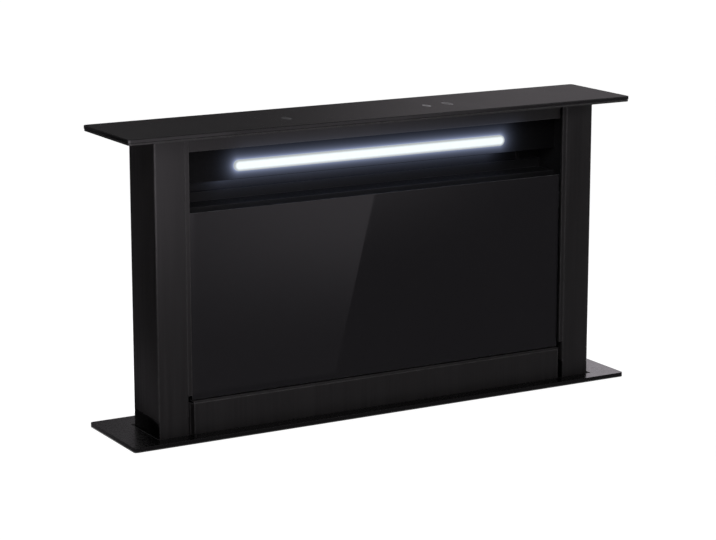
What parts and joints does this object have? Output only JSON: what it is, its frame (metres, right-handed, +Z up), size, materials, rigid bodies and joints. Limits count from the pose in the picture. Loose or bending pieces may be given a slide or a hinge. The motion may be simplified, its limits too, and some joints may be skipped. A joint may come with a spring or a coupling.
{
  "type": "downdraft vent",
  "caption": "Telescopic worktop downdraft extractor, raised: dark column with lit suction slot, lid and trim over a casing with lift, blower and round duct outlet.",
  "frame": {"origin": "middle of the whole object in X and Y, on the floor under its feet", "axes": "+X to the right seen from the front, -Y to the front, +Z up"},
  "size_m": [0.6, 0.2706, 0.9668],
  "materials": {
    "dark_glass": "gloss",
    "dark_steel": "satin",
    "black_steel": "matte",
    "zinc_steel": "satin",
    "bright_steel": "satin",
    "aluminium": "satin",
    "black_plastic": "matte",
    "white_plastic": "satin",
    "rubber": "matte",
    "light": "gloss"
  },
  "bodies": {
    "casing": {"trim_flange": "dark_steel", "slot_seal": "rubber", "top_frame": "black_plastic", "casing_front": "zinc_steel", "casing_rear": "zinc_steel", "casing_left": "zinc_steel", "casing_right": "zinc_steel", "casing_floor": "zinc_steel", "rack_left": "white_plastic", "rack_right": "white_plastic", "guide_left": "aluminium", "guide_right": "aluminium", "blower_housing": "black_plastic", "blower_motor": "zinc_steel", "duct_adapter": "zinc_steel", "flap_pin": "bright_steel", "control_box": "black_plastic", "mains_inlet": "black_plastic", "base_rail_left": "zinc_steel", "base_rail_right": "zinc_steel", "foot_front_left": "black_plastic", "foot_front_right": "black_plastic", "foot_rear_left": "black_plastic", "foot_rear_right": "black_plastic"},
    "column": {"lid_glass": "dark_glass", "lid_tray": "dark_steel", "lid_seal": "rubber", "top_plate": "zinc_steel", "touch_module": "black_plastic", "upright_left": "dark_steel", "upright_right": "dark_steel", "post_left": "black_steel", "post_right": "black_steel", "top_rail": "dark_steel", "lower_front": "dark_steel", "rear_panel": "dark_steel", "light_housing": "black_steel", "led_lens": "light", "filter_head": "black_steel", "glass_panel": "dark_glass", "glass_carrier": "black_steel", "catch_left": "black_plastic", "catch_right": "black_plastic", "filter_rail": "zinc_steel", "filter_left": "aluminium", "filter_right": "aluminium", "carriage_plate": "zinc_steel", "bearing_left": "black_plastic", "bearing_right": "black_plastic", "gearmotor": "bright_steel", "glide_left": "white_plastic", "glide_right": "white_plastic"},
    "cross_shaft": {"cross_shaft": "bright_steel", "shaft_gear": "white_plastic", "pinion_left": "white_plastic", "pinion_right": "white_plastic"},
    "motor_gear": {"motor_gear": "bright_steel"},
    "impeller": {"impeller": "black_plastic"},
    "flap_front": {"flap_front": "aluminium"},
    "flap_rear": {"flap_rear": "aluminium"}
  },
  "joints": [
    {"name": "column_lift", "type": "slide", "parent": "casing", "child": "column", "axis": [0, 0, 1], "range_m": [-0.305, 0]},
    {"name": "shaft_turn", "type": "hinge", "parent": "column", "child": "cross_shaft", "pos_m": [0, 0.1107, 0.553], "axis": [1, 0, 0], "range_deg": [0, 1456.3]},
    {"name": "motor_gear_turn", "type": "hinge", "parent": "column", "child": "motor_gear", "pos_m": [-0.056, 0.09371, 0.56534], "axis": [1, 0, 0], "range_deg": [-2366.5, 0]},
    {"name": "impeller_spin", "type": "hinge", "parent": "casing", "child": "impeller", "pos_m": [-0.025, -0.02538, 0.16], "axis": [0, 1, 0], "continuous": true},
    {"name": "flap_front_turn", "type": "hinge", "parent": "casing", "child": "flap_front", "pos_m": [0.1901, -0.04517, 0.259], "axis": [0, 0, 1], "range_deg": [0, 80], "stiffness_Nm_per_rad": 0.01, "springref_deg": -5.73},
    {"name": "flap_rear_turn", "type": "hinge", "parent": "casing", "child": "flap_rear", "pos_m": [0.1901, -0.04517, 0.259], "axis": [0, 0, 1], "range_deg": [-80, 0], "stiffness_Nm_per_rad": 0.01, "springref_deg": 5.73}
  ],
  "couplings": [
    {"joint": "shaft_turn", "follows": "column_lift", "rad_per_m": -83.333},
    {"joint": "motor_gear_turn", "follows": "column_lift", "rad_per_m": 135.42}
  ]
}
